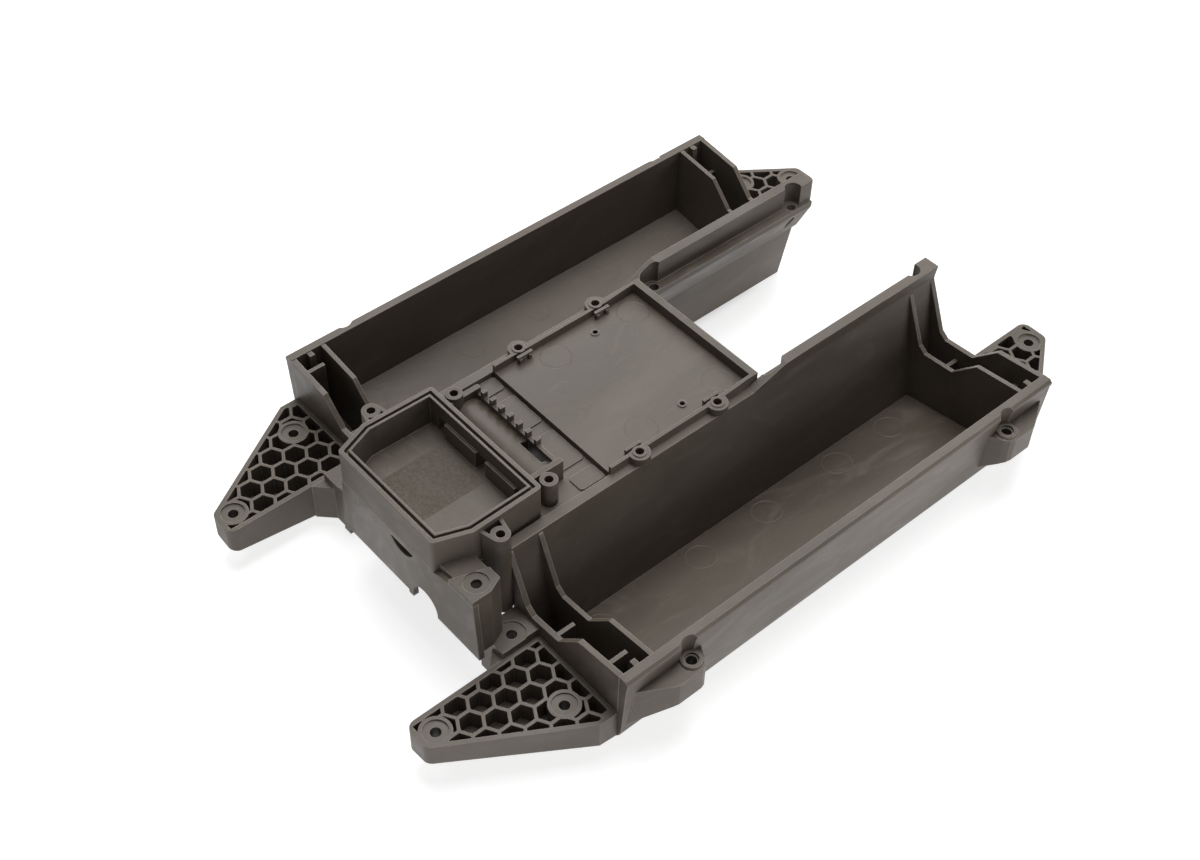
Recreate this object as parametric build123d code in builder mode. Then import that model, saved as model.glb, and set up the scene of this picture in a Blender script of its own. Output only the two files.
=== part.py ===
"""Moulded chassis tub of a large radio-controlled truck, in millimetres.

+X is the right-hand side, +Y the rear and +Z up. The origin is under the middle of the tub, on the
surface that it rests on. The tub is one nylon moulding, and its functional sections are written here
as separate solids that meet face to face.
"""

from build123d import *
import math
import os

os.makedirs("parts", exist_ok=True)

# Driving dimensions: plan
HALF_LENGTH = 155.5        # origin to the tip of a horn
TUB_LENGTH = 216.4         # over the end walls
TUB_CENTRE_Y = 10.2        # the tub sits slightly behind the middle
FRONT_POCKET = 11.4        # gap between the front end wall and its partition
REAR_POCKET = 10.6
END_WALL = 2.1
PARTITION = 1.8
SKIN = 2.3                 # general wall of the moulding

# Driving dimensions: bay section, as half widths from the centre plane
BAY_FOOT_X = 45.7          # inner lower corner of the bay floor
BAY_OUTER_X = 95.0         # inner face of the outer wall
OUTER_RIM_X = 99.4
FLOOR_TILT = 9.33          # degrees, rising outward
INNER_LEAN = 9.48          # degrees, the inner wall leans in toward the top

# Driving dimensions: heights above the resting surface
OUTER_RIM_Z = 43.3
DECK_Z = 50.6              # front deck, beside the receiver box
TRAY_Z = 53.3              # speed-controller tray and the inner rims beside it
SLOT_RIM_Z = 59.5          # inner rims along the rear slot
TRAY_WALL_Z = 57.9
BOX_FLOOR_Z = 52.6
BOX_RIM_Z = 66.2
CHANNEL_Z = 60.0           # top of the wire channel
HORN_Z = 22.55
HORN_CELL_FOOT_Z = 14.1    # floor of the honeycomb cells
LUG_Z = 34.0               # screw lugs on the outer walls
SLOT_LEDGE_Z = 49.2        # screw ledge along the rear slot
FRONT_FOOT_Z = 25.3        # lower edge of the front wall

# Driving dimensions: centre section
DECK_X = 33.2              # half width of the deck between the inner rims
BOX_FRONT_Y = -121.5
BOX_REAR_Y = -77.6
BOX_HALF = 31.9
BOX_NOSE_HALF = 26.8       # half width of the box across its chamfered front
STEP_Y = -48.3             # where the front deck steps up to the tray
TRAY_END_Y = 23.6

# Driving dimensions: holes and honeycomb
SCREW_R = 2.0              # clearance for a 4 mm screw
PILOT_R = 1.65             # pilot for a self-tapping 4 mm screw
CELL_PITCH = 8.7
CELL_WALL = 1.2

floor_slope = math.tan(math.radians(FLOOR_TILT))
wall_slope = math.tan(math.radians(INNER_LEAN))
corner_share = 1 + floor_slope * wall_slope
# the inner wall's inboard lower edge rests on the ground, at height zero
BAY_FOOT_Z = SKIN * (1 + floor_slope) / corner_share
TUB_FRONT = TUB_CENTRE_Y - TUB_LENGTH / 2
TUB_REAR = TUB_CENTRE_Y + TUB_LENGTH / 2
BAY_FRONT = TUB_FRONT + END_WALL + FRONT_POCKET + PARTITION
BAY_REAR = TUB_REAR - END_WALL - REAR_POCKET - PARTITION


def write(part, name):
    """Label one finished piece and write it to its own file."""
    part.label = name
    export_step(part, f"parts/{name}.step")


def write_pair(part, name):
    """Write a right-hand piece and its mirror image on the left."""
    write(part, f"right_{name}")
    write(mirror(part, about=Plane.YZ), f"left_{name}")


def section_at(y):
    """Plane of a cross-section at y, with its normal toward the rear and +X to the left of the sketch."""
    return Plane(origin=(0, y, 0), x_dir=(-1, 0, 0), z_dir=(0, 1, 0))


def section(*points):
    """Points given as (half width, height), for a sketch on section_at."""
    return [(-x, z) for x, z in points]


def floor_top(x):
    """Height of the bay floor's upper face at half width x."""
    return BAY_FOOT_Z + floor_slope * (x - BAY_FOOT_X)


def lean(z):
    """Half width of the inner wall's bay face at height z."""
    return BAY_FOOT_X - wall_slope * (z - BAY_FOOT_Z)


SEAM_Z = BAY_FOOT_Z - SKIN / corner_share  # where the inner wall's face meets the floor's underside


# ---------------------------------------------------------------- battery bays

with BuildPart() as bay_floor:
    with BuildSketch(section_at(TUB_FRONT)):
        with BuildLine():
            Polyline(
                *section(
                    (BAY_FOOT_X, BAY_FOOT_Z),
                    (BAY_OUTER_X, floor_top(BAY_OUTER_X)),
                    (BAY_OUTER_X, floor_top(BAY_OUTER_X) - SKIN),
                    (lean(SEAM_Z), SEAM_Z),
                ),
                close=True,
            )
        make_face()
    extrude(amount=TUB_LENGTH)
write_pair(bay_floor.part, "bay_floor")

LUG_SCREW_X = 101.0
LUG_SCREW_YS = (TUB_FRONT + 27.3, TUB_REAR - 26.4)
OUTER_SKIN_X = (97.0, 99.0)  # outer face of the outer wall, at its foot and under its rim
RIM_CHAMFER = 1.2
RIM_LIP = 2.4              # depth of the outer rim's lip
LIP_STEP = 0.5
WALL_RECESS_R = 4.0        # driver clearance past the outer rim
RECESS_R = 3.6             # driver clearance past the slot's rims

with BuildPart() as outer_wall:
    with BuildSketch(section_at(TUB_FRONT)):
        with BuildLine():
            Polyline(
                *section(
                    (BAY_OUTER_X, floor_top(BAY_OUTER_X) - SKIN),
                    (BAY_OUTER_X, OUTER_RIM_Z),
                    (OUTER_RIM_X - RIM_CHAMFER, OUTER_RIM_Z),
                    (OUTER_RIM_X, OUTER_RIM_Z - RIM_CHAMFER),
                    (OUTER_RIM_X, OUTER_RIM_Z - RIM_LIP),
                    (OUTER_SKIN_X[1], OUTER_RIM_Z - RIM_LIP - LIP_STEP),
                    (OUTER_SKIN_X[0], floor_top(OUTER_SKIN_X[0]) + 1.4),
                    (OUTER_SKIN_X[0] - 0.7, floor_top(OUTER_SKIN_X[0]) - 0.8),
                ),
                close=True,
            )
        make_face()
    extrude(amount=TUB_LENGTH)
    with BuildSketch(Plane.XY.offset(LUG_Z)):
        with Locations(*[(LUG_SCREW_X, y) for y in LUG_SCREW_YS]):
            Circle(WALL_RECESS_R)
    extrude(amount=OUTER_RIM_Z, mode=Mode.SUBTRACT)
write_pair(outer_wall.part, "outer_wall")

SLOT_SCREW_X = 32.6
SLOT_SCREW_YS = (32.0, 108.6)
SLOT_RIM_X = (34.0, 38.0)  # slot edge and bay edge of the deep rim
SLOT_LEDGE_X = 29.9        # edge of the ledge below the rim
SLOT_LEDGE = 2.6           # thickness of the ledge at its edge
SLOT_HAUNCH = (36.7, 32.1)  # end of the ledge's sloping underside, near the web
SLOT_HAUNCH_FOOT_Z = 27.0
RAMP_START_Y = 18.5        # the inner rim climbs from tray height to slot height
RAMP_END_Y = 34.5
FLANGE = 5.4               # depth of the inner rim's flange
SLOT_REAR_END = (31.2, 7.0)  # slot edge of the rim's thicker rear end, and its length
FRONT_RECESS_RUN = 3.2     # how far the front driver recess runs on toward the ramp

with BuildPart() as inner_wall:
    # leaning web
    with BuildSketch(section_at(TUB_FRONT)):
        with BuildLine():
            Polyline(
                *section(
                    (lean(SEAM_Z), SEAM_Z),
                    (lean(TRAY_Z), TRAY_Z),
                    (lean(TRAY_Z) - SKIN, TRAY_Z),
                    (lean(0.0) - SKIN, 0.0),
                ),
                close=True,
            )
        make_face()
    extrude(amount=TUB_LENGTH)
    # flange beside the deck
    with BuildSketch(section_at(TUB_FRONT)):
        with BuildLine():
            Polyline(
                *section(
                    (DECK_X, TRAY_Z),
                    (lean(TRAY_Z) - 0.5, TRAY_Z),
                    (lean(TRAY_Z - FLANGE) - 0.5, TRAY_Z - FLANGE),
                    (DECK_X, TRAY_Z - FLANGE),
                ),
                close=True,
            )
        make_face()
    extrude(amount=TRAY_END_Y - TUB_FRONT)
    # deep rim along the slot, with the screw ledge and its sloping underside
    with BuildSketch(section_at(TRAY_END_Y)):
        with BuildLine():
            Polyline(
                *section(
                    (lean(TRAY_Z), TRAY_Z),
                    (SLOT_RIM_X[1], SLOT_RIM_Z),
                    (SLOT_RIM_X[0], SLOT_RIM_Z),
                    (SLOT_RIM_X[0], SLOT_LEDGE_Z),
                    (SLOT_LEDGE_X, SLOT_LEDGE_Z),
                    (SLOT_LEDGE_X, SLOT_LEDGE_Z - SLOT_LEDGE),
                    SLOT_HAUNCH,
                    (lean(SLOT_HAUNCH_FOOT_Z) - SKIN / 2, SLOT_HAUNCH_FOOT_Z),
                    (lean(TRAY_Z) - SKIN / 2, TRAY_Z),
                ),
                close=True,
            )
        make_face()
    extrude(amount=TUB_REAR - TRAY_END_Y)
    with BuildSketch(Plane.XY.offset(SLOT_LEDGE_Z)):
        with Locations(((SLOT_REAR_END[0] + SLOT_RIM_X[0]) / 2, TUB_REAR - SLOT_REAR_END[1] / 2)):
            Rectangle(SLOT_RIM_X[0] - SLOT_REAR_END[0], SLOT_REAR_END[1])
    extrude(amount=SLOT_RIM_Z - SLOT_LEDGE_Z)
    with BuildSketch(section_at(RAMP_START_Y)):
        with BuildLine():
            Polyline(
                *section(
                    (lean(TRAY_Z), TRAY_Z),
                    (SLOT_RIM_X[1], SLOT_RIM_Z),
                    (SLOT_RIM_X[0], SLOT_RIM_Z),
                    (SLOT_RIM_X[0], TRAY_Z),
                ),
                close=True,
            )
        make_face()
    extrude(amount=TRAY_END_Y - RAMP_START_Y)
    # everything above the stepped line of the rim is open
    with BuildSketch(Plane.YZ):
        with BuildLine():
            Polyline(
                (TUB_FRONT - 1, TRAY_Z),
                (RAMP_START_Y, TRAY_Z),
                (RAMP_END_Y, SLOT_RIM_Z),
                (RAMP_END_Y, SLOT_RIM_Z + 2),
                (TUB_FRONT - 1, SLOT_RIM_Z + 2),
                close=True,
            )
        make_face()
    extrude(amount=60, mode=Mode.SUBTRACT)
    # driver recesses in the rim, and the screw holes in the ledge below them
    with BuildSketch(Plane.XY.offset(SLOT_LEDGE_Z)):
        with Locations(*[(SLOT_SCREW_X, y) for y in SLOT_SCREW_YS]):
            Circle(RECESS_R)
        with Locations((SLOT_SCREW_X, SLOT_SCREW_YS[0] - FRONT_RECESS_RUN)):
            Circle(RECESS_R)
        with Locations((SLOT_SCREW_X, SLOT_SCREW_YS[0] - FRONT_RECESS_RUN / 2)):
            Rectangle(2 * RECESS_R, FRONT_RECESS_RUN)
    extrude(amount=20, mode=Mode.SUBTRACT)
    with Locations(*[(SLOT_SCREW_X, y, SLOT_LEDGE_Z) for y in SLOT_SCREW_YS]):
        Hole(SCREW_R, depth=14)
write_pair(inner_wall.part, "inner_wall")


# top line of a wall across a bay, as (half width, height) from the outer wall inward
CROSS_WALL_TOP = [
    (BAY_OUTER_X, OUTER_RIM_Z - 0.3),
    (74.4, 40.6),
    (64.0, 29.8),
    (50.0, 28.8),
    (46.6, 31.3),
    (lean(52.3), 52.3),
]


def transverse_wall(y, thickness):
    """Wall across one bay, from its front face at y, between the inner and the outer wall."""
    with BuildPart() as wall:
        with BuildSketch(section_at(y)):
            with BuildLine():
                Polyline(
                    *section(
                        (BAY_FOOT_X, BAY_FOOT_Z),
                        (BAY_OUTER_X, floor_top(BAY_OUTER_X)),
                        *CROSS_WALL_TOP,
                    ),
                    close=True,
                )
            make_face()
        extrude(amount=thickness)
    return wall.part


write_pair(transverse_wall(TUB_FRONT, END_WALL), "front_end_wall")
write_pair(transverse_wall(TUB_REAR - END_WALL, END_WALL), "rear_end_wall")
write_pair(transverse_wall(BAY_FRONT - PARTITION, PARTITION), "front_partition")
write_pair(transverse_wall(BAY_REAR, PARTITION), "rear_partition")

RIB = 1.6
RIB_LENGTH = 7.6
TAB_SETBACK = 5.8          # tab under the outer rim, from the end wall
TAB = (2.6, 2.2)
TAB_FOOT_Z = 25.3
FRONT_RIBS = [(61.0, 28.7), (87.7, 41.1)]  # half width and top of each rib
REAR_RIBS = [(57.0, 23.5), (86.0, 32.0)]


def pocket_ribs(y_wall, rearward, sites):
    """Short ribs standing on the end wall's inner face, and the tab under the outer rim."""
    y_mid = y_wall + rearward * RIB_LENGTH / 2
    with BuildPart() as ribs:
        for x, top in sites:
            with BuildSketch(Plane.XY.offset(floor_top(x + RIB / 2))):
                with Locations((x, y_mid)):
                    Rectangle(RIB, RIB_LENGTH)
            extrude(amount=top - floor_top(x + RIB / 2))
        with BuildSketch(Plane.XY.offset(TAB_FOOT_Z)):
            with Locations((BAY_OUTER_X - TAB[0] / 2, y_wall + rearward * TAB_SETBACK)):
                Rectangle(*TAB)
        extrude(amount=OUTER_RIM_Z - 0.4 - TAB_FOOT_Z)
    return ribs.part


write_pair(pocket_ribs(TUB_FRONT + END_WALL, 1, FRONT_RIBS), "front_pocket_ribs")
write_pair(pocket_ribs(TUB_REAR - END_WALL, -1, REAR_RIBS), "rear_pocket_ribs")

# ---------------------------------------------------------------- screw lugs

LUG_X = 106.2
LUG_FOOT_Z = (15.8, 23.1)  # underside at the wall and at the outer edge
SEAT_FOOT_R = 4.4          # conical seat ring round the screw
SEAT_TOP_R = 3.8
SEAT_RISE = 1.2
SEAT_BORE_R = 2.6
# plan of a lug, as (half width, distance past the screw toward the tub's middle)
LUG_OUTLINE = [
    (OUTER_SKIN_X[0], -25.5),
    (LUG_X - 0.8, -11.4),
    (LUG_X, -9.6),
    (LUG_X, 0.7),
    (LUG_X - 0.8, 2.6),
    (LUG_X - 2.9, 4.2),
    (OUTER_SKIN_X[0], 7.5),
]


def outer_lug(y, inward):
    """Lug on the outer wall with its screw at y; its long taper runs away from the tub's middle."""
    with BuildPart() as lug:
        with BuildSketch(Plane.XY.offset(LUG_Z)):
            with BuildLine():
                Polyline(*[(x, y + inward * run) for x, run in LUG_OUTLINE], close=True)
            make_face()
        extrude(amount=-LUG_Z)
        # the underside rises toward the outer edge
        with BuildSketch(Plane.XZ.offset(-TUB_REAR)):
            with BuildLine():
                Polyline(
                    (OUTER_SKIN_X[0], LUG_FOOT_Z[0]),
                    (LUG_X, LUG_FOOT_Z[1]),
                    (LUG_X, 0),
                    (OUTER_SKIN_X[0], 0),
                    close=True,
                )
            make_face()
        extrude(amount=TUB_LENGTH, mode=Mode.SUBTRACT)
        with Locations((LUG_SCREW_X, y, LUG_Z + SEAT_RISE / 2)):
            Cone(bottom_radius=SEAT_FOOT_R, top_radius=SEAT_TOP_R, height=SEAT_RISE)
        add(outer_wall.part, mode=Mode.SUBTRACT)
        with Locations((LUG_SCREW_X, y, LUG_Z + SEAT_RISE)):
            CounterBoreHole(
                radius=SCREW_R,
                counter_bore_radius=SEAT_BORE_R,
                counter_bore_depth=SEAT_RISE,
                depth=24,
            )
    return lug.part


write_pair(outer_lug(LUG_SCREW_YS[0], 1), "front_outer_lug")
write_pair(outer_lug(LUG_SCREW_YS[1], -1), "rear_outer_lug")

# ---------------------------------------------------------------- corner horns

HORN_INNER_X = 53.5
HORN_REAR_INNER_X = 59.5
HORN_ROOT_X = 95.2         # where a horn runs out against the end wall
FRONT_HORN_OUTER_Y = -105.8
REAR_HORN_OUTER_Y = 122.9
FRONT_HORN_SHOULDER_Y = -119.8  # where the front shelf's side runs into the horn
FRONT_HORN_TIP_X = 60.0
REAR_HORN_TIP_X = 65.0
HORN_INNER_FOOT_Z = (6.0, 8.0)  # underside at the inner end of the root, front and rear
HORN_TIP_FOOT_Z = 12.3     # underside at the tip and at the outer end of the root
HORN_OUTER_FOOT_Z = 10.3
HORN_WALL = 1.8
FRONT_HORN = [
    (HORN_INNER_X, TUB_FRONT),
    (HORN_INNER_X, -HALF_LENGTH),
    (65.1, -HALF_LENGTH),
    (HORN_ROOT_X, FRONT_HORN_OUTER_Y),
    (HORN_ROOT_X, TUB_FRONT),
]
REAR_HORN = [
    (HORN_REAR_INNER_X, TUB_REAR),
    (HORN_REAR_INNER_X, HALF_LENGTH),
    (71.4, HALF_LENGTH),
    (HORN_ROOT_X, REAR_HORN_OUTER_Y),
    (HORN_ROOT_X, TUB_REAR),
]
FRONT_HORN_SCREWS = [(61.6, -148.9), (81.0, -109.4)]
REAR_HORN_SCREWS = [(68.5, 148.2), (80.0, 128.4)]
HORN_TIP_R = 3.6
HORN_BOSS_R = 5.9
HORN_SEAT_R = 4.6
HORN_SEAT_DEPTH = 0.8
SMALLEST_CELL = 3.0        # square millimetres, smaller offcuts of the pattern stay filled
CELL_ORIGIN = (66.6, -122.9)


def horn(outline, screws, underside):
    """Triangular corner bracket, open honeycomb above a sloping closed underside, with two screw bosses."""
    row = CELL_PITCH * math.sqrt(3) / 2
    centres = [
        (CELL_ORIGIN[0] + CELL_PITCH * (i + (j % 2) / 2), CELL_ORIGIN[1] + row * j)
        for i in range(-3, 5)
        for j in range(-5, 38)
        if min(abs(CELL_ORIGIN[1] + row * j - y) for _, y in outline) < 30
    ]
    with BuildSketch() as pattern:
        with Locations(*centres):
            RegularPolygon(radius=(CELL_PITCH - CELL_WALL) / 2, side_count=6, major_radius=False, rotation=30)
    with BuildPart() as bracket:
        with BuildSketch(Plane.XY) as foot:
            with BuildLine():
                Polyline(*outline, close=True)
            make_face()
            tips = foot.vertices().filter_by(lambda v: abs(abs(v.Y) - HALF_LENGTH) < 0.01)
            fillet(tips, radius=HORN_TIP_R)
        extrude(amount=HORN_Z)
        split(bisect_by=underside, keep=Keep.TOP)
        with BuildSketch(Plane.XY.offset(HORN_Z)) as cells:
            with BuildLine():
                Polyline(*outline, close=True)
            make_face()
            offset(amount=-HORN_WALL, kind=Kind.INTERSECTION, mode=Mode.REPLACE)
            add(pattern.sketch, mode=Mode.INTERSECT)
            with Locations(*screws):
                Circle(HORN_BOSS_R, mode=Mode.SUBTRACT)
        open_cells = [face for face in cells.sketch.faces() if face.area > SMALLEST_CELL]
        extrude(open_cells, amount=HORN_CELL_FOOT_Z - HORN_Z, mode=Mode.SUBTRACT)
        with Locations(*[(x, y, HORN_Z) for x, y in screws]):
            CounterBoreHole(SCREW_R, counter_bore_radius=HORN_SEAT_R, counter_bore_depth=HORN_SEAT_DEPTH)
    return bracket.part


def plane_through(tip, inner_root, outer_root):
    """Upward-facing plane through the three given points of a horn's underside."""
    normal = (outer_root - tip).cross(inner_root - tip)
    return Plane(origin=tip, z_dir=normal if normal.Z > 0 else -normal)


front_underside = plane_through(
    Vector(FRONT_HORN_TIP_X, -HALF_LENGTH, HORN_TIP_FOOT_Z),
    Vector(HORN_INNER_X, FRONT_HORN_SHOULDER_Y, HORN_INNER_FOOT_Z[0]),
    Vector(HORN_ROOT_X, FRONT_HORN_OUTER_Y, HORN_OUTER_FOOT_Z),
)
rear_underside = plane_through(
    Vector(REAR_HORN_TIP_X, HALF_LENGTH, HORN_TIP_FOOT_Z),
    Vector(HORN_REAR_INNER_X, TUB_REAR, HORN_INNER_FOOT_Z[1]),
    Vector(HORN_ROOT_X, REAR_HORN_OUTER_Y, HORN_OUTER_FOOT_Z),
)
write_pair(horn(FRONT_HORN, FRONT_HORN_SCREWS, front_underside), "front_horn")
write_pair(horn(REAR_HORN, REAR_HORN_SCREWS, rear_underside), "rear_horn")

# ---------------------------------------------------------------- receiver box

BOX_CHAMFER_Y = -107.7
LAND = 1.6                 # outer land of the box rim
GROOVE = 1.3               # seal groove behind the land
LIP = 0.9                  # inner lip behind the groove
BOX_WALL = LAND + GROOVE + LIP
GROOVE_DEPTH = 2.2
BOX_OUTLINE = [
    (-BOX_NOSE_HALF, BOX_FRONT_Y),
    (BOX_NOSE_HALF, BOX_FRONT_Y),
    (BOX_HALF, BOX_CHAMFER_Y),
    (BOX_HALF - 0.6, BOX_REAR_Y),
    (0.6 - BOX_HALF, BOX_REAR_Y),
    (-BOX_HALF, BOX_CHAMFER_Y),
]
WIRE_WINDOW_XS = (-20.4, 2.9)
WIRE_WINDOW = (5.4, 7.0)   # width and height, standing on the box floor
WINDOW_CENTRES = [(x, BOX_FLOOR_Z + WIRE_WINDOW[1] / 2) for x in WIRE_WINDOW_XS]
BOX_LEDGE_SPANS = [(-17.7, 0.2), (5.6, 22.0)]  # thicker stretches of the rear wall beside the windows
BOX_LEDGE = 1.3
BOX_LEDGE_Z = 60.4

with BuildPart() as receiver_box:
    with BuildSketch(Plane.XY.offset(DECK_Z)) as shell:
        with BuildLine():
            Polyline(*BOX_OUTLINE, close=True)
        make_face()
        fillet(shell.vertices(), radius=1.6)
    extrude(amount=BOX_RIM_Z - DECK_Z)
    with BuildSketch(Plane.XY.offset(BOX_RIM_Z)):
        with BuildLine():
            Polyline(*BOX_OUTLINE, close=True)
        make_face()
        offset(amount=-BOX_WALL, kind=Kind.INTERSECTION, mode=Mode.REPLACE)
    extrude(amount=BOX_FLOOR_Z - BOX_RIM_Z, mode=Mode.SUBTRACT)
    # the seal groove, cut as the ring between two offsets of the outline
    with BuildSketch(Plane.XY.offset(BOX_RIM_Z)):
        with BuildLine():
            Polyline(*BOX_OUTLINE, close=True)
        make_face()
        offset(amount=-LAND, kind=Kind.INTERSECTION, mode=Mode.REPLACE)
        with BuildSketch(mode=Mode.PRIVATE) as island:
            with BuildLine():
                Polyline(*BOX_OUTLINE, close=True)
            make_face()
            offset(amount=-(LAND + GROOVE), kind=Kind.INTERSECTION, mode=Mode.REPLACE)
        add(island.sketch, mode=Mode.SUBTRACT)
    extrude(amount=-GROOVE_DEPTH, mode=Mode.SUBTRACT)
    # windows in the rear wall pass the wires to the channel
    with BuildSketch(Plane.XZ.offset(-BOX_REAR_Y)):
        with Locations(*WINDOW_CENTRES):
            Rectangle(*WIRE_WINDOW)
    extrude(amount=BOX_WALL, mode=Mode.SUBTRACT)
    with BuildSketch(Plane.XY.offset(BOX_FLOOR_Z)):
        for left, right in BOX_LEDGE_SPANS:
            with Locations(((left + right) / 2, BOX_REAR_Y - BOX_WALL - BOX_LEDGE / 2)):
                Rectangle(right - left, BOX_LEDGE)
    extrude(amount=BOX_LEDGE_Z - BOX_FLOOR_Z)
receiver_box.part.label = "receiver_box"
export_step(receiver_box.part, "parts/receiver_box.step")

# ---------------------------------------------------------------- front structure

FRONT_SKIN = 2.3
FRONT_RIGHT_X = 48.2       # right edge of the front wall under the side shelf
SIDE_SHELF_X = 35.2        # left edge of the side shelf on the front face
SIDE_SHELF_Z = 55.3
SIDE_SHELF = 2.6           # thickness
FOOT_DROP = 1.5
LEFT_FOOT_X = (-29.2, -25.6)  # deeper foot at the left end of the lower edge
ARCH_FOOT = 2.5            # width of the small foot beside the arch
ARCH_X = (12.8, 26.9)      # ends of the arch in the lower edge
ARCH_RISE = 8.2
SCALLOP_X = (1.8, 14.8)    # ends of the scalloped slot in the front wall
SCALLOP_Z = 48.2
SCALLOP_DEPTH = 4.2

with BuildPart() as front_wall:
    with BuildSketch(Plane.XZ.offset(-BOX_FRONT_Y)):
        with BuildLine():
            Polyline(
                (ARCH_X[0], FRONT_FOOT_Z),
                (ARCH_X[0], FRONT_FOOT_Z - FOOT_DROP),
                (ARCH_X[0] - ARCH_FOOT, FRONT_FOOT_Z - FOOT_DROP),
                (ARCH_X[0] - ARCH_FOOT, FRONT_FOOT_Z),
                (LEFT_FOOT_X[1], FRONT_FOOT_Z),
                (LEFT_FOOT_X[1], FRONT_FOOT_Z - 2 * FOOT_DROP),
                (LEFT_FOOT_X[0], FRONT_FOOT_Z - 2 * FOOT_DROP),
                (-BOX_NOSE_HALF, DECK_Z),
                (BOX_NOSE_HALF, DECK_Z),
                (BOX_NOSE_HALF + 2.6, DECK_Z + 1.0),
                (SIDE_SHELF_X, SIDE_SHELF_Z - SIDE_SHELF),
                (FRONT_RIGHT_X, SIDE_SHELF_Z - SIDE_SHELF),
                (FRONT_RIGHT_X + 2.2, FRONT_FOOT_Z),
                (ARCH_X[1], FRONT_FOOT_Z),
            )
            ThreePointArc(
                (ARCH_X[1], FRONT_FOOT_Z),
                (sum(ARCH_X) / 2, FRONT_FOOT_Z + ARCH_RISE),
                (ARCH_X[0], FRONT_FOOT_Z),
            )
        make_face()
    extrude(amount=-FRONT_SKIN)
    with BuildSketch(Plane.XZ.offset(-BOX_FRONT_Y)):
        with BuildLine():
            Line((SCALLOP_X[0], SCALLOP_Z), (SCALLOP_X[1], SCALLOP_Z))
            ThreePointArc(
                (SCALLOP_X[0], SCALLOP_Z),
                (sum(SCALLOP_X) / 2, SCALLOP_Z - SCALLOP_DEPTH),
                (SCALLOP_X[1], SCALLOP_Z),
            )
        make_face()
    extrude(amount=-FRONT_SKIN, mode=Mode.SUBTRACT)
    add(receiver_box.part, mode=Mode.SUBTRACT)
front_wall.part.label = "front_wall"
export_step(front_wall.part, "parts/front_wall.step")

DECK_SKIN = 2.4
DECK_NOSE = 6.0            # length of the deck's tapered front, ahead of the bays
SIDE_SKIN = 2.2            # side walls under the deck and the side shelf
front_inner_y = BOX_FRONT_Y + FRONT_SKIN

SHELF_INNER_X = 40.6
SHELF_CORNER_X = 47.5       # where the front edge turns back to the horn
SHELF_FRONT_Y = -113.8
SHELF_Z = 26.3
SHELF_FOOT_Z = 5.3
SHELF_SKIN = 2.2
SHELF_SCREW = (49.0, -106.4)
SHELF_SEAT_R = 5.2
SHELF_SEAT_DEPTH = 0.7

with BuildPart() as front_shelf:
    with BuildSketch(Plane.XY.offset(SHELF_FOOT_Z)):
        with BuildLine():
            Polyline(
                (SHELF_INNER_X, TUB_FRONT),
                (SHELF_INNER_X, SHELF_FRONT_Y),
                (SHELF_CORNER_X, SHELF_FRONT_Y),
                (HORN_INNER_X, FRONT_HORN_SHOULDER_Y),
                (HORN_INNER_X, TUB_FRONT),
                close=True,
            )
        make_face()
    extrude(amount=HORN_Z - SHELF_FOOT_Z)
    with BuildSketch(Plane.XY.offset(HORN_Z)):
        with BuildLine():
            Polyline(
                (SHELF_INNER_X, TUB_FRONT),
                (SHELF_INNER_X, SHELF_FRONT_Y),
                (HORN_INNER_X, SHELF_FRONT_Y),
                (HORN_INNER_X, TUB_FRONT),
                close=True,
            )
        make_face()
    extrude(amount=SHELF_Z - HORN_Z)
    # hollow from beneath
    with BuildSketch(Plane.XY.offset(SHELF_FOOT_Z)):
        with BuildLine():
            Polyline(
                (SHELF_INNER_X + SHELF_SKIN, TUB_FRONT - SHELF_SKIN),
                (SHELF_INNER_X + SHELF_SKIN, SHELF_FRONT_Y + SHELF_SKIN),
                (HORN_INNER_X - SHELF_SKIN, SHELF_FRONT_Y + SHELF_SKIN),
                (HORN_INNER_X - SHELF_SKIN, TUB_FRONT - SHELF_SKIN),
                close=True,
            )
        make_face()
    extrude(amount=SHELF_Z - SHELF_SKIN - 1 - SHELF_FOOT_Z, mode=Mode.SUBTRACT)
    # seat open toward the front, round toward the rear
    with BuildSketch(Plane.XY.offset(SHELF_Z)):
        with Locations(SHELF_SCREW):
            Circle(SHELF_SEAT_R)
        with Locations((SHELF_SCREW[0], SHELF_SCREW[1] - 5)):
            Rectangle(2 * SHELF_SEAT_R, 10)
    extrude(amount=-SHELF_SEAT_DEPTH, mode=Mode.SUBTRACT)
    with Locations((*SHELF_SCREW, SHELF_Z)):
        Hole(SCREW_R, depth=8)
write_pair(front_shelf.part, "front_shelf")

SIDE_SHELF_REAR_Y = -107.7
SIDE_SHELF_BEND_Y = -113.5
SIDE_SHELF_TAPER = 2.6
LOWER_LEDGE_DROP = 1.4     # ledge between the box's chamfer and the shelf
LOWER_LEDGE = 2.4
LOWER_LEDGE_X = (36.2, 40.2)  # right edge of the ledge, front and rear
SIDE_SHELF_SKEW = 4.6      # the left edge runs outward toward the rear
SIDE_SEAT_R = 4.6
SIDE_SCREW = (42.2, -115.2)

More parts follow.
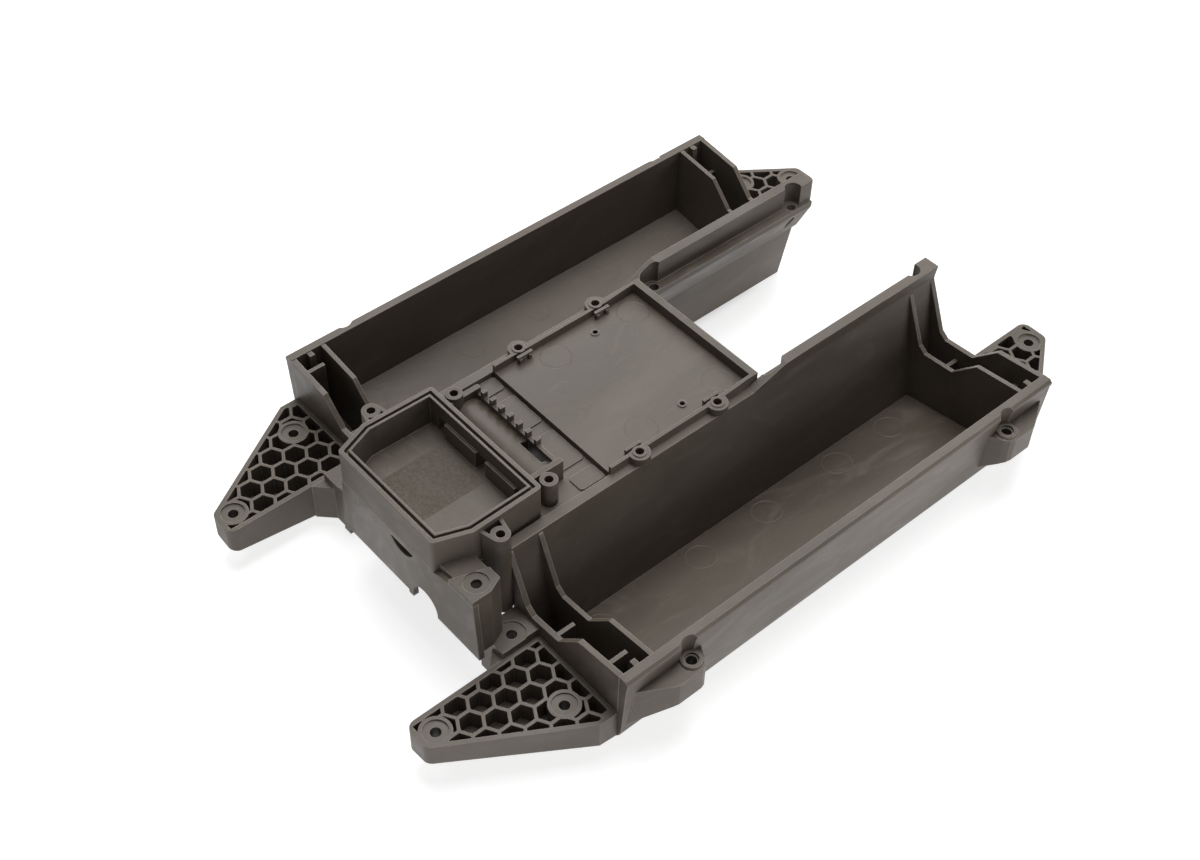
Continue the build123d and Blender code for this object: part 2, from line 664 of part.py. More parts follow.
with BuildPart() as side_shelf:
    with BuildSketch(Plane.XY.offset(SIDE_SHELF_Z)):
        with BuildLine():
            Polyline(
                (SIDE_SHELF_X, BOX_FRONT_Y),
                (FRONT_RIGHT_X, BOX_FRONT_Y),
                (FRONT_RIGHT_X, SIDE_SHELF_BEND_Y),
                (FRONT_RIGHT_X - SIDE_SHELF_TAPER, SIDE_SHELF_REAR_Y),
                (SIDE_SHELF_X + SIDE_SHELF_SKEW, SIDE_SHELF_REAR_Y),
                close=True,
            )
        make_face()
    extrude(amount=-SIDE_SHELF)
    with BuildSketch(Plane.XY.offset(SIDE_SHELF_Z - LOWER_LEDGE_DROP)):
        with BuildLine():
            Polyline(
                (BOX_NOSE_HALF, front_inner_y),
                (LOWER_LEDGE_X[0], front_inner_y),
                (LOWER_LEDGE_X[1], SIDE_SHELF_REAR_Y),
                (BOX_HALF, SIDE_SHELF_REAR_Y),
                close=True,
            )
        make_face()
    extrude(amount=-LOWER_LEDGE)
    add(receiver_box.part, mode=Mode.SUBTRACT)
    add(front_wall.part, mode=Mode.SUBTRACT)
    with BuildSketch(Plane.XY.offset(SIDE_SHELF_Z)):
        with Locations(SIDE_SCREW):
            Circle(SIDE_SEAT_R)
    extrude(amount=-SHELF_SEAT_DEPTH, mode=Mode.SUBTRACT)
    with Locations((*SIDE_SCREW, SIDE_SHELF_Z)):
        Hole(SCREW_R, depth=8)
    # side plate below the shelf, back to the tub's end wall
    with BuildSketch(Plane.XY.offset(SIDE_SHELF_Z - SIDE_SHELF)):
        with BuildLine():
            Polyline(
                (FRONT_RIGHT_X, front_inner_y),
                (FRONT_RIGHT_X, SIDE_SHELF_BEND_Y),
                (FRONT_RIGHT_X - SIDE_SHELF_TAPER, SIDE_SHELF_REAR_Y),
                (FRONT_RIGHT_X - SIDE_SHELF_TAPER - SIDE_SKIN, SIDE_SHELF_REAR_Y),
                (FRONT_RIGHT_X - SIDE_SKIN, SIDE_SHELF_BEND_Y),
                (FRONT_RIGHT_X - SIDE_SKIN, front_inner_y),
                close=True,
            )
        make_face()
    extrude(amount=FRONT_FOOT_Z + SIDE_SHELF - SIDE_SHELF_Z)
    add(front_shelf.part, mode=Mode.SUBTRACT)
side_shelf.part.label = "right_side_shelf"
export_step(side_shelf.part, "parts/right_side_shelf.step")

FRONT_POST = (36.9, -100.4)
FRONT_POST_R = 3.5
POST_FIN = 1.3             # thickness of the fins
POST_BASE = [(29.0, -106.0), (29.0, -95.0)]  # ends of the fins, under the box
REAR_POST = (26.9, -71.2)
REAR_POST_R = 3.3
FRONT_POST_Z = 64.2
REAR_POST_Z = 61.7

with BuildPart() as front_post:
    # a round post, with two fins that run tangent to it from the box
    with BuildSketch(Plane.XY.offset(FRONT_FOOT_Z)):
        with BuildLine():
            CenterArc(FRONT_POST, FRONT_POST_R, 0, 360)
            Line(*POST_BASE)
        make_hull()
        offset(amount=-POST_FIN, kind=Kind.INTERSECTION, mode=Mode.SUBTRACT)
        with Locations(FRONT_POST):
            Circle(FRONT_POST_R)
    extrude(amount=FRONT_POST_Z - FRONT_FOOT_Z)
    add(inner_wall.part, mode=Mode.SUBTRACT)
    add(transverse_wall(TUB_FRONT, END_WALL), mode=Mode.SUBTRACT)
    add(front_shelf.part, mode=Mode.SUBTRACT)
    # the fins end on the side of the box
    with BuildSketch(Plane.XY.offset(DECK_Z)):
        with BuildLine():
            Polyline(*BOX_OUTLINE, close=True)
        make_face()
    extrude(amount=BOX_RIM_Z - DECK_Z, mode=Mode.SUBTRACT)
    # the column stands in front of the deck's edge
    with BuildSketch(Plane.XY.offset(DECK_Z - DECK_SKIN)):
        with Locations((DECK_X / 2, FRONT_POST[1])):
            Rectangle(DECK_X, 4 * FRONT_POST_R)
    extrude(amount=DECK_SKIN, mode=Mode.SUBTRACT)
    with Locations((*FRONT_POST, FRONT_POST_Z)):
        Hole(PILOT_R, depth=14)
write_pair(front_post.part, "front_post")

side_wall_end_y = POST_BASE[0][1] + 1.2  # within the thickness of the fin

with BuildPart() as front_side_wall:
    # under the side of the box, from the front wall back to the front post's fin
    with BuildSketch(Plane.XY.offset(FRONT_FOOT_Z)):
        with BuildLine():
            Polyline(
                (BOX_NOSE_HALF, front_inner_y),
                (BOX_NOSE_HALF - SIDE_SKIN, front_inner_y),
                (POST_BASE[0][0], side_wall_end_y),
                (POST_BASE[0][0] + SIDE_SKIN, side_wall_end_y),
                close=True,
            )
        make_face()
    extrude(amount=DECK_Z - DECK_SKIN - FRONT_FOOT_Z)
    add(front_post.part, mode=Mode.SUBTRACT)
write_pair(front_side_wall.part, "front_side_wall")

with BuildPart() as rear_post:
    with BuildSketch(Plane.XY.offset(DECK_Z)):
        with Locations(REAR_POST):
            Circle(REAR_POST_R)
    extrude(amount=REAR_POST_Z - DECK_Z)
    with Locations((*REAR_POST, REAR_POST_Z)):
        Hole(PILOT_R, depth=9)
write_pair(rear_post.part, "rear_post")

# ---------------------------------------------------------------- deck and tray

CHANNEL_SIDES = (-26.6, 22.4)
CHANNEL_REAR_Y = -60.8
CHANNEL_WALL = 1.7
CHANNEL_END_WALL = 2.2
CHANNEL_FLOOR_Z = 55.2
HUMP_Y = (-72.6, -62.5)    # the channel's floor arches up under the wires
HUMP_Z = 56.7
REAR_SIDE_DROP = 3.6       # how far the channel's rear side lies below its rim
WIRE_HOLE = (9.6, -63.4)   # centre of the rectangular pass-through
WIRE_HOLE_SIZE = (12.2, 4.0)
channel_mid_x = sum(CHANNEL_SIDES) / 2
channel_mid_y = (BOX_REAR_Y + CHANNEL_REAR_Y) / 2
channel_inner_length = CHANNEL_SIDES[1] - CHANNEL_SIDES[0] - 2 * CHANNEL_END_WALL
channel_width = CHANNEL_REAR_Y - BOX_REAR_Y

with BuildPart() as front_deck:
    with BuildSketch(Plane.XY.offset(DECK_Z)):
        with BuildLine():
            Polyline(
                (-BOX_NOSE_HALF, front_inner_y),
                (BOX_NOSE_HALF, front_inner_y),
                (DECK_X, TUB_FRONT - DECK_NOSE),
                (DECK_X, STEP_Y),
                (-DECK_X, STEP_Y),
                (-DECK_X, TUB_FRONT - DECK_NOSE),
                close=True,
            )
        make_face()
        with Locations(WIRE_HOLE):
            Rectangle(*WIRE_HOLE_SIZE, mode=Mode.SUBTRACT)
    extrude(amount=-DECK_SKIN)
front_deck.part.label = "front_deck"
export_step(front_deck.part, "parts/front_deck.step")

PAD = 0.6
PAD_FRONT_Y = -60.0
PAD_REAR_Y = -48.9
PAD_SPANS = [(-32.8, -25.4), (-20.6, -3.7), (1.6, 19.9), (23.8, 31.4)]

with BuildPart() as deck_pads:
    with BuildSketch(Plane.XY.offset(DECK_Z)) as pad_shapes:
        for left, right in PAD_SPANS:
            with Locations(((left + right) / 2, (PAD_FRONT_Y + PAD_REAR_Y) / 2)):
                Rectangle(right - left, PAD_REAR_Y - PAD_FRONT_Y)
        fillet(pad_shapes.vertices(), radius=1.4)
    extrude(amount=PAD)
deck_pads.part.label = "deck_pads"
export_step(deck_pads.part, "parts/deck_pads.step")

with BuildPart() as wire_channel:
    with BuildSketch(Plane.XY.offset(DECK_Z)):
        with Locations((channel_mid_x, channel_mid_y)):
            Rectangle(CHANNEL_SIDES[1] - CHANNEL_SIDES[0], channel_width)
        with Locations((-REAR_POST[0], REAR_POST[1])):
            Circle(REAR_POST_R, mode=Mode.SUBTRACT)
    extrude(amount=CHANNEL_Z - DECK_Z)
    # everything inside the walls and above the arched floor is open
    with BuildSketch(Plane.YZ.offset(CHANNEL_SIDES[0] + CHANNEL_END_WALL)):
        with BuildLine():
            Polyline(
                (HUMP_Y[1], CHANNEL_FLOOR_Z),
                (HUMP_Y[1], CHANNEL_Z),
                (BOX_REAR_Y + CHANNEL_WALL, CHANNEL_Z),
                (BOX_REAR_Y + CHANNEL_WALL, CHANNEL_FLOOR_Z),
                (HUMP_Y[0], CHANNEL_FLOOR_Z),
            )
            ThreePointArc(
                (HUMP_Y[0], CHANNEL_FLOOR_Z),
                (sum(HUMP_Y) / 2, HUMP_Z),
                (HUMP_Y[1], CHANNEL_FLOOR_Z),
            )
        make_face()
    extrude(amount=channel_inner_length, mode=Mode.SUBTRACT)
    # windows facing those of the receiver box
    with BuildSketch(Plane.XZ.offset(-BOX_REAR_Y)):
        with Locations(*WINDOW_CENTRES):
            Rectangle(*WIRE_WINDOW)
    extrude(amount=-CHANNEL_WALL, mode=Mode.SUBTRACT)
    # the rear side is low, under the comb
    with BuildSketch(Plane.XY.offset(CHANNEL_Z)):
        with Locations((channel_mid_x, CHANNEL_REAR_Y)):
            Rectangle(channel_inner_length, 2 * CHANNEL_WALL)
    extrude(amount=-REAR_SIDE_DROP, mode=Mode.SUBTRACT)
    with BuildSketch(Plane.XY.offset(CHANNEL_Z)):
        with Locations(WIRE_HOLE):
            Rectangle(*WIRE_HOLE_SIZE)
    extrude(amount=DECK_Z - CHANNEL_Z, mode=Mode.SUBTRACT)
wire_channel.part.label = "wire_channel"
export_step(wire_channel.part, "parts/wire_channel.step")

COMB_FOOT_Z = CHANNEL_Z - REAR_SIDE_DROP
COMB_BASE = 1.4
COMB_PITCH = 5.08
COMB_TEETH = 7
COMB_FIRST_X = -21.4
TOOTH = (1.5, 2.2)
TOOTH_RISE = 3.0

with BuildPart() as wire_comb:
    comb_y = CHANNEL_REAR_Y - CHANNEL_WALL / 2
    with BuildSketch(Plane.XY.offset(COMB_FOOT_Z)):
        with Locations((channel_mid_x, comb_y)):
            Rectangle(channel_inner_length, CHANNEL_WALL)
    extrude(amount=COMB_BASE)
    with BuildSketch(Plane.XY.offset(COMB_FOOT_Z + COMB_BASE)):
        with Locations(*[(COMB_FIRST_X + COMB_PITCH * i, comb_y) for i in range(COMB_TEETH)]):
            Rectangle(*TOOTH)
    extrude(amount=TOOTH_RISE)
wire_comb.part.label = "wire_comb"
export_step(wire_comb.part, "parts/wire_comb.step")

STANDOFFS = [(-24.5, -5.8), (24.5, -5.8)]
STANDOFF_R = 1.8
STANDOFF_RISE = 0.5
STANDOFF_HOLE_R = 1.05

with BuildPart() as tray_floor:
    with BuildSketch(Plane.XY.offset(DECK_Z - DECK_SKIN)):
        with Locations((0, (STEP_Y + TRAY_END_Y) / 2)):
            Rectangle(2 * DECK_X, TRAY_END_Y - STEP_Y)
    extrude(amount=TRAY_Z - DECK_Z + DECK_SKIN)
    with BuildSketch(Plane.XY.offset(TRAY_Z)):
        with Locations(*STANDOFFS):
            Circle(STANDOFF_R)
    extrude(amount=STANDOFF_RISE)
    with Locations(*[(x, y, TRAY_Z + STANDOFF_RISE) for x, y in STANDOFFS]):
        Hole(STANDOFF_HOLE_R, depth=4)
tray_floor.part.label = "tray_floor"
export_step(tray_floor.part, "parts/tray_floor.step")

TRAY_WALL_X = 32.2         # inner face of the tray's side walls
TRAY_WALL = 1.4
TRAY_REAR_WALL = 3.0
TRAY_SIDE_Z = 56.6
TRAY_BOSS_YS = (-35.5, 2.5)
TRAY_BOSSES = [(side * 34.2, y) for side in (-1, 1) for y in TRAY_BOSS_YS]
TRAY_BOSS_R = 2.7
TRAY_BOSS_Z = 57.0

with BuildPart() as tray_wall:
    with BuildSketch(Plane.XY.offset(TRAY_Z)):
        with Locations((0, (STEP_Y + TRAY_END_Y) / 2)):
            Rectangle(2 * (TRAY_WALL_X + TRAY_WALL), TRAY_END_Y - STEP_Y)
        with Locations(*TRAY_BOSSES):
            Circle(TRAY_BOSS_R + TRAY_WALL)
        with Locations((0, (STEP_Y + TRAY_END_Y - TRAY_REAR_WALL) / 2 - 1)):
            Rectangle(2 * TRAY_WALL_X, TRAY_END_Y - TRAY_REAR_WALL - STEP_Y + 2, mode=Mode.SUBTRACT)
        with Locations(*TRAY_BOSSES):
            Circle(TRAY_BOSS_R, mode=Mode.SUBTRACT)
    extrude(amount=TRAY_WALL_Z - TRAY_Z)
    # the side walls are lower than the rear wall, with a ramp between
    with BuildSketch(Plane.YZ.offset(-60)):
        with BuildLine():
            Polyline(
                (STEP_Y - 10, TRAY_SIDE_Z),
                (RAMP_START_Y - 14, TRAY_SIDE_Z),
                (RAMP_START_Y, TRAY_WALL_Z),
                (RAMP_START_Y, TRAY_WALL_Z + 2),
                (STEP_Y - 10, TRAY_WALL_Z + 2),
                close=True,
            )
        make_face()
    extrude(amount=120, mode=Mode.SUBTRACT)
    add(inner_wall.part, mode=Mode.SUBTRACT)
    add(mirror(inner_wall.part, about=Plane.YZ), mode=Mode.SUBTRACT)
tray_wall.part.label = "tray_wall"
export_step(tray_wall.part, "parts/tray_wall.step")

with BuildPart() as tray_bosses:
    with BuildSketch(Plane.XY.offset(TRAY_Z)):
        with Locations(*TRAY_BOSSES):
            Circle(TRAY_BOSS_R)
            Circle(PILOT_R, mode=Mode.SUBTRACT)
    extrude(amount=TRAY_BOSS_Z - TRAY_Z)
tray_bosses.part.label = "tray_bosses"
export_step(tray_bosses.part, "parts/tray_bosses.step")

CLIP_X = 30.4
CLIP = (1.2, 7.0)          # bar of a clip in plan
CLIP_LEG = (1.9, 1.2)
CLIP_LEG_SPREAD = 2.3      # legs, each way from the middle of the bar
CLIP_BAR = 1.2
CLIP_Z = 56.6

with BuildPart() as board_clips:
    clip_sites = [(side * CLIP_X, y) for side in (-1, 1) for y in TRAY_BOSS_YS]
    with BuildSketch(Plane.XY.offset(CLIP_Z)):
        with Locations(*clip_sites):
            Rectangle(*CLIP)
    extrude(amount=-CLIP_BAR)
    with BuildSketch(Plane.XY.offset(TRAY_Z)):
        for x, y in clip_sites:
            with Locations((x, y - CLIP_LEG_SPREAD), (x, y + CLIP_LEG_SPREAD)):
                Rectangle(*CLIP_LEG)
    extrude(amount=CLIP_Z - CLIP_BAR - TRAY_Z)
board_clips.part.label = "board_clips"
export_step(board_clips.part, "parts/board_clips.step")
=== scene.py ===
import math

import bpy
from mathutils import Matrix, Vector


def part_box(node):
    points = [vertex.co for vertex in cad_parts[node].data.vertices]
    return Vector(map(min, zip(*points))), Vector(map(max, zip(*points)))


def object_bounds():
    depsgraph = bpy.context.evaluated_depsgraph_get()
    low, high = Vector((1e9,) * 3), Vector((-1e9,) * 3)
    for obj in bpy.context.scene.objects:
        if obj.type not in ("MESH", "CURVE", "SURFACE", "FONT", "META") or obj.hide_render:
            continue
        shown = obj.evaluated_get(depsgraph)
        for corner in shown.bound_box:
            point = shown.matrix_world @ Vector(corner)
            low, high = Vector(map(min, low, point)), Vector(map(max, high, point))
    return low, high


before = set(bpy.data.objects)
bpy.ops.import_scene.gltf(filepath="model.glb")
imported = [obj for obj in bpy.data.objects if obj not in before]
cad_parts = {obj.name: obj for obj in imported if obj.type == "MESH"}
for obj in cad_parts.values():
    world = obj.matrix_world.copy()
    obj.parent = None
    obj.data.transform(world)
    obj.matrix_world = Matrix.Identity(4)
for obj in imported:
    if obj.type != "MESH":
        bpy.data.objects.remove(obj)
cad_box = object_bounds()

MM = 0.001

# The viewing angle, given round a point on the object
VIEW_AZIMUTH = 48.13
VIEW_ELEVATION = 47.14
VIEW_ROLL = 1.46
VIEW_DISTANCE = 0.631
VIEW_TARGET = Vector((8.0, -31.15, 43.3)) * MM
LENS = 51.27

# Nylon colours, linear
NYLON = (0.092, 0.074, 0.058)
NYLON_DARK = (0.066, 0.052, 0.040)
NYLON_LIGHT = (0.150, 0.126, 0.104)
# paler colour of rounded edges: a painted edge highlight, with some wear
NYLON_WEAR_AND_HIGHLIGHT = (0.420, 0.375, 0.330)

EDGE = 0.55 * MM           # radius that edges are shaded with
RING_RADIUS = 6.0 * MM     # ejector-pin marks
RING_WIDTH = 0.4 * MM
RING_ROWS = (0.13, 0.36, 0.52, 0.70, 0.84)  # where the rings stand along a bay floor

# The studio floor
FLOOR_REACH = 12.0
FLOOR_GAP = 0.2 * MM       # below the object, so the two never coincide
FLOOR_GLOW = 0.78
SHADE_INSET = 15 * MM      # the shade under the tub stays this far inside its outline
SHADE_BLUR = 7 * MM

WORLD_STRENGTH = 0.20
LIGHT_AIM = (0, 0, 0.03)


# ---------------------------------------------------------------- node helpers

class Nodes:
    """A material's node tree, with short calls that add and link nodes."""

    def __init__(self, name):
        self.material = bpy.data.materials.new(name)
        self.material.use_nodes = True
        self.tree = self.material.node_tree
        self.tree.nodes.clear()
        self.output = self.tree.nodes.new("ShaderNodeOutputMaterial")
        self.place = self.tree.nodes.new("ShaderNodeTexCoord").outputs["Object"]

    def add(self, kind, **settings):
        node = self.tree.nodes.new(kind)
        for key, value in settings.items():
            setattr(node, key, value)
        return node

    def feed(self, socket, value):
        """Link a socket's output to another socket, or set its value."""
        if isinstance(value, bpy.types.NodeSocket):
            self.tree.links.new(value, socket)
        else:
            socket.default_value = value

    def math(self, operation, a, b=0.0, clamp=False):
        node = self.add("ShaderNodeMath", operation=operation, use_clamp=clamp)
        self.feed(node.inputs[0], a)
        self.feed(node.inputs[1], b)
        return node.outputs[0]

    def scaled(self, stretch):
        """Object coordinates in metres, stretched by a factor along each axis."""
        node = self.add("ShaderNodeMapping")
        self.feed(node.inputs["Vector"], self.place)
        node.inputs["Scale"].default_value = stretch
        return node.outputs[0]

    def noise(self, scale, detail=3.0, rough=0.5, distortion=0.0, stretch=(1, 1, 1)):
        node = self.add("ShaderNodeTexNoise")
        self.feed(node.inputs["Vector"], self.scaled(stretch))
        node.inputs["Scale"].default_value = scale
        node.inputs["Detail"].default_value = detail
        node.inputs["Roughness"].default_value = rough
        node.inputs["Distortion"].default_value = distortion
        return node.outputs["Fac"]

    def ramp(self, value, low, high, to_low=0.0, to_high=1.0):
        """Map value from low..high to to_low..to_high, smoothly and clamped."""
        node = self.add("ShaderNodeMapRange", interpolation_type="SMOOTHSTEP")
        self.feed(node.inputs["Value"], value)
        node.inputs["From Min"].default_value = low
        node.inputs["From Max"].default_value = high
        node.inputs["To Min"].default_value = to_low
        node.inputs["To Max"].default_value = to_high
        return node.outputs["Result"]

    def mix(self, share, a, b):
        node = self.add("ShaderNodeMix", data_type="RGBA")
        self.feed(node.inputs["Factor"], share)
        for socket, value in ((node.inputs[6], a), (node.inputs[7], b)):
            if isinstance(value, tuple):
                socket.default_value = (*value, 1.0)
            else:
                self.tree.links.new(value, socket)
        return node.outputs[2]

    def bump(self, height, distance, strength=1.0, normal=None):
        node = self.add("ShaderNodeBump")
        node.inputs["Strength"].default_value = strength
        node.inputs["Distance"].default_value = distance
        self.feed(node.inputs["Height"], height)
        if normal is not None:
            self.tree.links.new(normal, node.inputs["Normal"])
        return node.outputs[0]


def rectangle(nodes, low, high, blur=0.1 * MM):
    """1 inside this rectangle in plan, and 0 outside it."""
    split = nodes.add("ShaderNodeSeparateXYZ")
    nodes.feed(split.inputs[0], nodes.place)
    share = None
    for axis in (0, 1):
        for sign, limit in ((1.0, low[axis]), (-1.0, high[axis])):
            past = nodes.math("MULTIPLY", nodes.math("SUBTRACT", split.outputs[axis], limit), sign)
            step = nodes.ramp(past, -blur, blur)
            share = step if share is None else nodes.math("MULTIPLY", share, step)
    return share


def ring_marks(nodes, centres, radius, width):
    """1 on the thin circles that ejector pins leave round these centres in plan, and 0 elsewhere."""
    split = nodes.add("ShaderNodeSeparateXYZ")
    nodes.feed(split.inputs[0], nodes.place)
    nearest = None
    for x, y in centres:
        dx = nodes.math("SUBTRACT", split.outputs[0], x)
        dy = nodes.math("SUBTRACT", split.outputs[1], y)
        square = nodes.math("ADD", nodes.math("MULTIPLY", dx, dx), nodes.math("MULTIPLY", dy, dy))
        away = nodes.math("ABSOLUTE", nodes.math("SUBTRACT", nodes.math("SQRT", square), radius))
        nearest = away if nearest is None else nodes.math("MINIMUM", nearest, away)
    return nodes.ramp(nearest, width * 0.25, width, 1.0, 0.0)


def nylon(name, flow=(1.0, 0.35, 1.0), marks=(), rough=(0.46, 0.62), patch=None):
    """Glass-filled nylon: satin, cloudy with flow marks, finely grained, with paler edges that are a
    painted edge highlight with some wear.
    """
    nodes = Nodes(name)
    shader = nodes.add("ShaderNodeBsdfPrincipled")
    nodes.feed(nodes.output.inputs["Surface"], shader.outputs[0])
    drift = nodes.noise(9, detail=3, rough=0.5, distortion=1.2, stretch=flow)
    cloud = nodes.noise(22, detail=5, rough=0.55, distortion=0.8, stretch=flow)
    wisps = nodes.noise(60, detail=5, rough=0.62, distortion=2.4, stretch=flow)
    fibres = nodes.noise(1500, detail=2, rough=0.7, stretch=(1.0, 0.45, 1.0))
    grain = nodes.noise(3200, detail=2, rough=0.6)
    colour = nodes.mix(nodes.ramp(cloud, 0.36, 0.64), NYLON_DARK, NYLON)
    colour = nodes.mix(nodes.ramp(drift, 0.45, 0.70, 0.0, 0.40), colour, NYLON_LIGHT)
    colour = nodes.mix(nodes.ramp(wisps, 0.50, 0.74, 0.0, 0.42), colour, NYLON_LIGHT)
    colour = nodes.mix(nodes.ramp(fibres, 0.56, 0.78, 0.0, 0.34), colour, NYLON_LIGHT)
    rounded = nodes.add("ShaderNodeBevel", samples=4)
    rounded.inputs["Radius"].default_value = EDGE
    geometry = nodes.add("ShaderNodeNewGeometry")
    lean = nodes.add("ShaderNodeVectorMath", operation="DOT_PRODUCT")
    nodes.feed(lean.inputs[0], rounded.outputs[0])
    nodes.feed(lean.inputs[1], geometry.outputs["Normal"])
    # rounded edges turn paler: a painted edge highlight, with some wear
    wear_and_highlight = nodes.ramp(lean.outputs["Value"], 0.84, 0.998, 0.8, 0.0)
    wear_and_highlight = nodes.math("MULTIPLY", wear_and_highlight, nodes.ramp(wisps, 0.3, 0.6, 0.55, 1.0))
    colour = nodes.mix(wear_and_highlight, colour, NYLON_WEAR_AND_HIGHLIGHT)
    height = nodes.math("ADD", nodes.math("MULTIPLY", grain, 0.25), nodes.math("MULTIPLY", fibres, 0.35))
    normal = nodes.bump(height, 0.04 * MM, 0.6, rounded.outputs[0])
    normal = nodes.bump(cloud, 0.5 * MM, 0.35, normal)
    roughness = nodes.ramp(wisps, 0.3, 0.75, *rough)
    roughness = nodes.math("ADD", roughness, nodes.ramp(drift, 0.35, 0.65, -0.12, 0.08))
    if marks:
        rings = ring_marks(nodes, marks, RING_RADIUS, RING_WIDTH)
        colour = nodes.mix(nodes.math("MULTIPLY", rings, 0.35), colour, NYLON_LIGHT)
        normal = nodes.bump(rings, 0.12 * MM, 0.9, normal)
    if patch:
        inside = rectangle(nodes, *patch)
        stipple = nodes.ramp(nodes.noise(900, detail=3, rough=0.75), 0.35, 0.7)
        speckled = nodes.mix(nodes.math("MULTIPLY", stipple, 0.5), NYLON_DARK, NYLON_LIGHT)
        colour = nodes.mix(nodes.math("MULTIPLY", inside, 0.75), colour, speckled)
        normal = nodes.bump(nodes.math("MULTIPLY", stipple, inside), 0.08 * MM, 0.8, normal)
        roughness = nodes.math("ADD", roughness, nodes.math("MULTIPLY", inside, 0.25), clamp=True)
    nodes.feed(shader.inputs["Base Color"], colour)
    nodes.feed(shader.inputs["Roughness"], roughness)
    nodes.feed(shader.inputs["Normal"], normal)
    shader.inputs["Specular IOR Level"].default_value = 0.42
    return nodes.material


def paint(node_name, material):
    """Give one CAD node its material in every slot."""
    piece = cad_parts[node_name]
    if not piece.data.materials:
        piece.data.materials.append(material)
    for slot in piece.material_slots:
        slot.material = material


# ---------------------------------------------------------------- materials

def along(node_name, share_x, shares_y):
    """Points over a node's plan, at these shares of its width and length."""
    low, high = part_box(node_name)
    x = low.x + share_x * (high.x - low.x)
    return [(x, low.y + share * (high.y - low.y)) for share in shares_y]


def over(node_name, low_share, high_share):
    """Corners of a rectangle over a node's plan, given as shares of its width and length."""
    low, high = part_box(node_name)
    corners = []
    for share in (low_share, high_share):
        corners.append((low.x + share[0] * (high.x - low.x), low.y + share[1] * (high.y - low.y)))
    return corners


right_marks = along("right_bay_floor", 0.17, RING_ROWS) + along("right_bay_floor", 0.81, RING_ROWS)
left_marks = along("left_bay_floor", 0.83, RING_ROWS) + along("left_bay_floor", 0.19, RING_ROWS)
tray_marks = along("tray_floor", 0.14, (0.32, 0.85)) + along("tray_floor", 0.86, (0.32, 0.85))
shell = nylon("nylon_shell")
right_floor = nylon("nylon_right_bay_floor", marks=right_marks)
left_floor = nylon("nylon_left_bay_floor", marks=left_marks)
tray = nylon("nylon_tray", marks=tray_marks, rough=(0.42, 0.58))
box_body = nylon("nylon_box", flow=(0.4, 1.0, 1.0), patch=over("receiver_box", (0.24, 0.12), (0.62, 0.86)))

for node_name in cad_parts:
    paint(node_name, shell)
paint("right_bay_floor", right_floor)
paint("left_bay_floor", left_floor)
paint("tray_floor", tray)
paint("receiver_box", box_body)


# ---------------------------------------------------------------- stage, light and camera

def painted_shade_under_tub(nodes):
    """1 on the ground well under the tub, where the floor's glow is left out to paint shade, and 0 beyond
    it and in the open rear slot.
    """
    left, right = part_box("left_outer_wall"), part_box("right_outer_wall")
    slot_left, slot_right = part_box("left_inner_wall"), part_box("right_inner_wall")
    slot_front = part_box("tray_floor")[1].y
    tub_low = (left[1].x + SHADE_INSET, left[0].y + SHADE_INSET)
    tub_high = (right[0].x - SHADE_INSET, right[1].y - SHADE_INSET)
    tub = rectangle(nodes, tub_low, tub_high, SHADE_BLUR)
    slot_rear = 2 * right[1].y
    slot = rectangle(nodes, (slot_left[0].x, slot_front), (slot_right[1].x, slot_rear), SHADE_BLUR)
    return nodes.math("MULTIPLY", tub, nodes.math("SUBTRACT", 1.0, slot))


def floor_material():
    """White floor with a painted glow, so the shadows on it stay faint; the glow is left out under the
    tub, a painted shade there.
    """
    nodes = Nodes("studio_floor")
    shader = nodes.add("ShaderNodeBsdfPrincipled")
    nodes.feed(nodes.output.inputs["Surface"], shader.outputs[0])
    shade = nodes.ramp(nodes.noise(2.0), 0.3, 0.7)
    nodes.feed(shader.inputs["Base Color"], nodes.mix(shade, (0.44, 0.44, 0.44), (0.46, 0.46, 0.46)))
    # the painted glow stops under the tub, leaving painted shade there
    glow = nodes.math("MULTIPLY", nodes.math("SUBTRACT", 1.0, painted_shade_under_tub(nodes)), FLOOR_GLOW)
    shader.inputs["Emission Color"].default_value = (1.0, 1.0, 1.0, 1.0)
    nodes.feed(shader.inputs["Emission Strength"], glow)
    shader.inputs["Roughness"].default_value = 0.9
    shader.inputs["Specular IOR Level"].default_value = 0.1
    return nodes.material


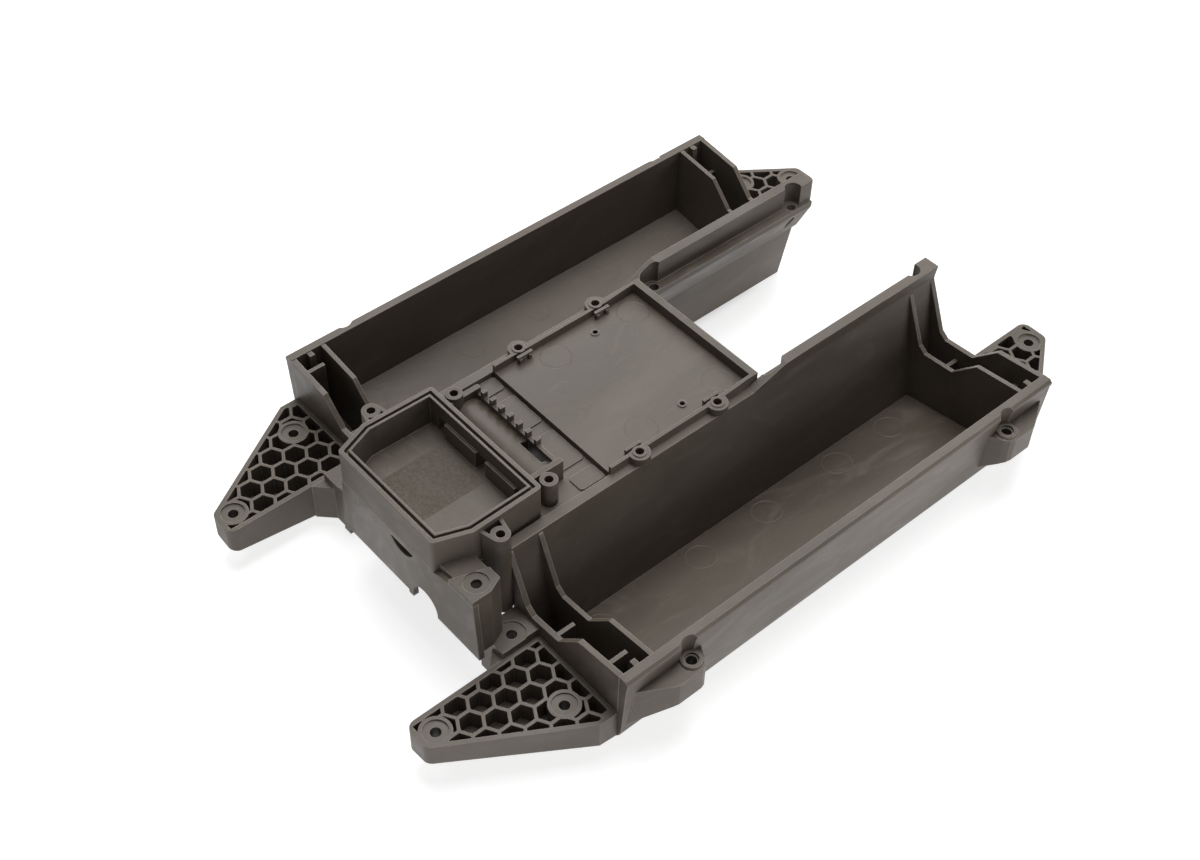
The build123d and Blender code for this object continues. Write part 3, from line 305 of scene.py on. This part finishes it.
def make_floor():
    signs = ((-1, -1), (1, -1), (1, 1), (-1, 1))
    corners = [(x * FLOOR_REACH, y * FLOOR_REACH, 0) for x, y in signs]
    mesh = bpy.data.meshes.new("studio_floor")
    mesh.from_pydata(corners, [], [(0, 1, 2, 3)])
    mesh.materials.append(floor_material())
    floor = bpy.data.objects.new("studio_floor", mesh)
    floor.location.z = cad_box[0].z - FLOOR_GAP
    bpy.context.scene.collection.objects.link(floor)


def area_light(name, place, aim, size, power):
    light = bpy.data.lights.new(name, "AREA")
    light.shape = "RECTANGLE"
    light.size, light.size_y = size
    light.energy = power
    holder = bpy.data.objects.new(name, light)
    holder.location = place
    holder.rotation_mode = "QUATERNION"
    holder.rotation_quaternion = (Vector(aim) - Vector(place)).to_track_quat("-Z", "Y")
    bpy.context.scene.collection.objects.link(holder)


def make_light():
    world = bpy.data.worlds.new("studio")
    bpy.context.scene.world = world
    world.use_nodes = True
    background = world.node_tree.nodes["Background"]
    background.inputs["Color"].default_value = (1.0, 1.0, 1.0, 1.0)
    background.inputs["Strength"].default_value = WORLD_STRENGTH
    area_light("key_softbox", (-0.75, 0.72, 1.20), LIGHT_AIM, (1.7, 1.7), 22.0)
    area_light("top_softbox", (-0.10, 0.15, 1.60), LIGHT_AIM, (0.8, 0.8), 16.0)
    area_light("right_softbox", (1.30, 0.55, 0.30), (0.1, 0, 0.02), (1.0, 0.5), 5.0)


def make_camera():
    azimuth, elevation = math.radians(VIEW_AZIMUTH), math.radians(VIEW_ELEVATION)
    back = Vector((
        math.sin(azimuth) * math.cos(elevation),
        -math.cos(azimuth) * math.cos(elevation),
        math.sin(elevation),
    ))
    level = Vector((math.cos(azimuth), math.sin(azimuth), 0.0))
    upright = back.cross(level)
    turn = math.radians(VIEW_ROLL)
    across = level * math.cos(turn) + upright * math.sin(turn)
    upward = upright * math.cos(turn) - level * math.sin(turn)
    data = bpy.data.cameras.new("camera")
    data.lens = LENS
    data.sensor_width = 36.0
    data.clip_start, data.clip_end = 0.01, 50.0
    camera = bpy.data.objects.new("camera", data)
    turned = Matrix((across, upward, back)).transposed().to_4x4()
    camera.matrix_world = Matrix.Translation(VIEW_TARGET + back * VIEW_DISTANCE) @ turned
    bpy.context.scene.collection.objects.link(camera)
    bpy.context.scene.camera = camera


make_floor()
make_light()
make_camera()
bpy.context.scene.view_settings.view_transform = "Standard"
